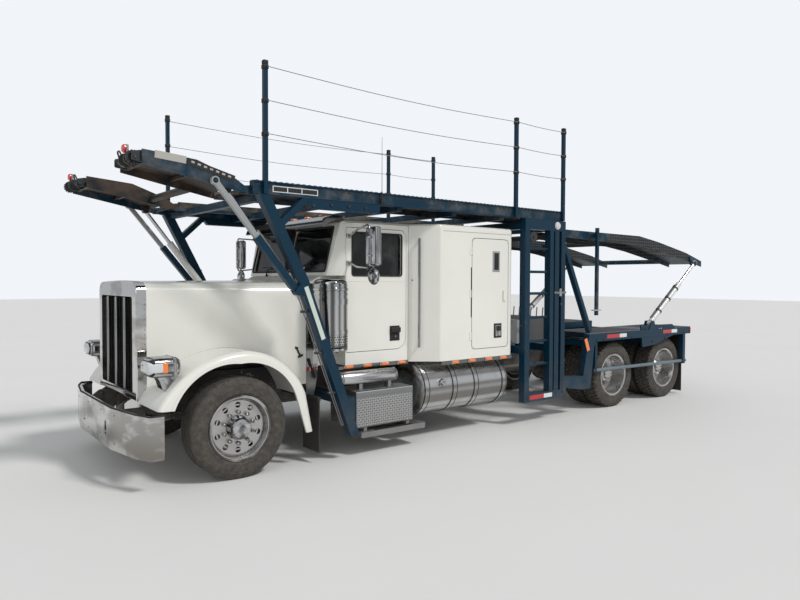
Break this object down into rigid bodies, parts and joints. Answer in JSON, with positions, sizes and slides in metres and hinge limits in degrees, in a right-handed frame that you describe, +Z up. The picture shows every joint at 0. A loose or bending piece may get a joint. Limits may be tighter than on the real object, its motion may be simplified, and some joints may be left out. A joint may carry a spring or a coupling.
{
  "type": "car transporter truck",
  "caption": "Long-nose sleeper tractor with a steel car-carrying rack over the cab, a tilting rear deck and a low stinger coupling.",
  "frame": {"origin": "on the ground, under the middle of the truck's length and width", "axes": "+X forwards, +Y to the driver's side (left), +Z up"},
  "size_m": [9.1, 3.19, 3.755],
  "materials": {
    "cab_paint": "off-white gloss paint, a little dusty",
    "rack_paint": "dark blue-green paint, worn pale at the edges",
    "frame_black": "dull black paint with road dirt",
    "engine_iron": "oily cast iron",
    "chrome": "bright chrome",
    "polished_aluminium": "polished aluminium",
    "tread_plate": "bright tread plate",
    "wheel_aluminium": "polished wheel aluminium, dulled by dust",
    "tyre_rubber": "black tyre rubber",
    "flap_rubber": "black rubber sheet",
    "window_glass": "tinted clear glass",
    "amber_lens": "amber lens",
    "interior_trim": "dark grey vinyl and plastic",
    "equipment_grey": "grey enamel on valves and boxes",
    "cylinder_white": "white painted cylinder barrels",
    "rod_chrome": "hard-chromed rods"
  },
  "bodies": {
    "chassis": {"chassis_frame": "frame_black", "front_axle": "frame_black", "drive_axles": "frame_black", "powertrain": "engine_iron", "bumper": "chrome", "cab_shell": "cab_paint", "cab_glass": "window_glass", "sun_visor": "chrome", "sleeper_shell": "cab_paint", "cab_interior": "interior_trim", "air_cleaners": "chrome", "tanks": "polished_aluminium", "step_boxes": "tread_plate", "side_trim": "chrome", "lamps": "amber_lens", "mudflaps": "flap_rubber", "headrack_legs": "rack_paint", "headrack_deck": "rack_paint", "ladder_towers": "rack_paint", "link_rails": "rack_paint", "fender_decks": "rack_paint", "safety_poles": "rack_paint", "stinger_coupling": "frame_black", "equipment": "equipment_grey"},
    "hood": {"hood_shell": "cab_paint", "front_fenders": "cab_paint", "grille_surround": "chrome", "grille_bars": "chrome", "headlights": "chrome"},
    "door_left": {"door_left": "cab_paint", "door_glass_left": "window_glass", "door_mirror_left": "chrome"},
    "locker_left": {"locker_door_left": "cab_paint"},
    "knuckle_left": {"knuckle_left": "frame_black"},
    "front_wheel_left": {"front_tyre_left": "tyre_rubber", "front_rim_left": "wheel_aluminium"},
    "door_right": {"door_right": "cab_paint", "door_glass_right": "window_glass", "door_mirror_right": "chrome"},
    "locker_right": {"locker_door_right": "cab_paint"},
    "knuckle_right": {"knuckle_right": "frame_black"},
    "front_wheel_right": {"front_tyre_right": "tyre_rubber", "front_rim_right": "wheel_aluminium"},
    "drive_wheels_1_left": {"drive_tyres_1_left": "tyre_rubber", "drive_rims_1_left": "wheel_aluminium"},
    "drive_wheels_1_right": {"drive_tyres_1_right": "tyre_rubber", "drive_rims_1_right": "wheel_aluminium"},
    "drive_wheels_2_left": {"drive_tyres_2_left": "tyre_rubber", "drive_rims_2_left": "wheel_aluminium"},
    "drive_wheels_2_right": {"drive_tyres_2_right": "tyre_rubber", "drive_rims_2_right": "wheel_aluminium"},
    "head_ramp": {"head_ramp": "rack_paint"},
    "ramp_barrels": {"ramp_barrels": "cylinder_white"},
    "ramp_rods": {"ramp_rods": "rod_chrome"},
    "strut_sleeves": {"strut_sleeves": "rack_paint"},
    "strut_inners": {"strut_inners": "equipment_grey"},
    "rear_deck": {"rear_deck": "rack_paint"},
    "deck_barrels": {"deck_barrels": "cylinder_white"},
    "deck_rods": {"deck_rods": "rod_chrome"}
  },
  "joints": [
    {"name": "steer_left", "type": "hinge", "parent": "chassis", "child": "knuckle_left", "pos_m": [3.6, 0.885, 0.46], "axis": [0, 0, 1], "range_deg": [-35, 35]},
    {"name": "front_wheel_left_spin", "type": "hinge", "parent": "knuckle_left", "child": "front_wheel_left", "pos_m": [3.6, 1.05, 0.46], "axis": [0, 1, 0], "continuous": true},
    {"name": "steer_right", "type": "hinge", "parent": "chassis", "child": "knuckle_right", "pos_m": [3.6, -0.885, 0.46], "axis": [0, 0, 1], "range_deg": [-35, 35]},
    {"name": "front_wheel_right_spin", "type": "hinge", "parent": "knuckle_right", "child": "front_wheel_right", "pos_m": [3.6, -1.05, 0.46], "axis": [0, 1, 0], "continuous": true},
    {"name": "drive_wheels_1_left_spin", "type": "hinge", "parent": "chassis", "child": "drive_wheels_1_left", "pos_m": [-2.1, 0.921, 0.46], "axis": [0, 1, 0], "continuous": true},
    {"name": "drive_wheels_1_right_spin", "type": "hinge", "parent": "chassis", "child": "drive_wheels_1_right", "pos_m": [-2.1, -0.921, 0.46], "axis": [0, 1, 0], "continuous": true},
    {"name": "drive_wheels_2_left_spin", "type": "hinge", "parent": "chassis", "child": "drive_wheels_2_left", "pos_m": [-3.43, 0.921, 0.46], "axis": [0, 1, 0], "continuous": true},
    {"name": "drive_wheels_2_right_spin", "type": "hinge", "parent": "chassis", "child": "drive_wheels_2_right", "pos_m": [-3.43, -0.921, 0.46], "axis": [0, 1, 0], "continuous": true},
    {"name": "hood_tilt", "type": "hinge", "parent": "chassis", "child": "hood", "pos_m": [4.37, 0, 0.645], "axis": [0, 1, 0], "range_deg": [0, 75]},
    {"name": "door_left_swing", "type": "hinge", "parent": "chassis", "child": "door_left", "pos_m": [2.328, 0.97, 1.695], "axis": [0, 0, -1], "range_deg": [0, 65]},
    {"name": "door_right_swing", "type": "hinge", "parent": "chassis", "child": "door_right", "pos_m": [2.328, -0.97, 1.695], "axis": [0, 0, 1], "range_deg": [0, 65]},
    {"name": "locker_left_swing", "type": "hinge", "parent": "chassis", "child": "locker_left", "pos_m": [0.724, 1.19, 1.645], "axis": [0, 0, -1], "range_deg": [0, 95]},
    {"name": "locker_right_swing", "type": "hinge", "parent": "chassis", "child": "locker_right", "pos_m": [0.724, -1.19, 1.645], "axis": [0, 0, 1], "range_deg": [0, 95]},
    {"name": "head_ramp_tilt", "type": "hinge", "parent": "chassis", "child": "head_ramp", "pos_m": [3.58, 0, 2.6], "axis": [0, -1, 0], "range_deg": [-12, 18]},
    {"name": "ramp_barrels_tilt", "type": "hinge", "parent": "chassis", "child": "ramp_barrels", "pos_m": [2.94, 0, 1.6], "axis": [0, -1, 0], "range_deg": [-0.77, 1.13]},
    {"name": "ramp_rods_slide", "type": "slide", "parent": "ramp_barrels", "child": "ramp_rods", "axis": [0.6139, 0, 0.7894], "range_m": [-0.02292, 0.03383]},
    {"name": "strut_sleeves_tilt", "type": "hinge", "parent": "chassis", "child": "strut_sleeves", "pos_m": [3.07, 0, 1.69], "axis": [0, -1, 0], "range_deg": [-2.26, 3.34]},
    {"name": "strut_inners_slide", "type": "slide", "parent": "strut_sleeves", "child": "strut_inners", "axis": [0.6364, 0, 0.7714], "range_m": [-0.03856, 0.05692]},
    {"name": "rear_deck_tilt", "type": "hinge", "parent": "chassis", "child": "rear_deck", "pos_m": [-0.93, 0, 2.42], "axis": [0, 1, 0], "range_deg": [-6, 4]},
    {"name": "deck_barrels_tilt", "type": "hinge", "parent": "chassis", "child": "deck_barrels", "pos_m": [-2.94, 0, 1.165], "axis": [0, 1, 0], "range_deg": [-10.01, 6.78]},
    {"name": "deck_rods_slide", "type": "slide", "parent": "deck_barrels", "child": "deck_rods", "axis": [-0.8105, 0, 0.5857], "range_m": [-0.23239, 0.15743]}
  ],
  "couplings": [
    {"joint": "steer_right", "follows": "steer_left", "ratio": 1},
    {"joint": "ramp_barrels_tilt", "follows": "head_ramp_tilt", "ratio": 0.06076},
    {"joint": "ramp_rods_slide", "follows": "head_ramp_tilt", "m_per_rad": 0.10421},
    {"joint": "strut_sleeves_tilt", "follows": "head_ramp_tilt", "ratio": 0.17938},
    {"joint": "strut_inners_slide", "follows": "head_ramp_tilt", "m_per_rad": 0.17533},
    {"joint": "deck_barrels_tilt", "follows": "rear_deck_tilt", "ratio": 1.6152},
    {"joint": "deck_rods_slide", "follows": "rear_deck_tilt", "m_per_rad": 2.1476}
  ]
}
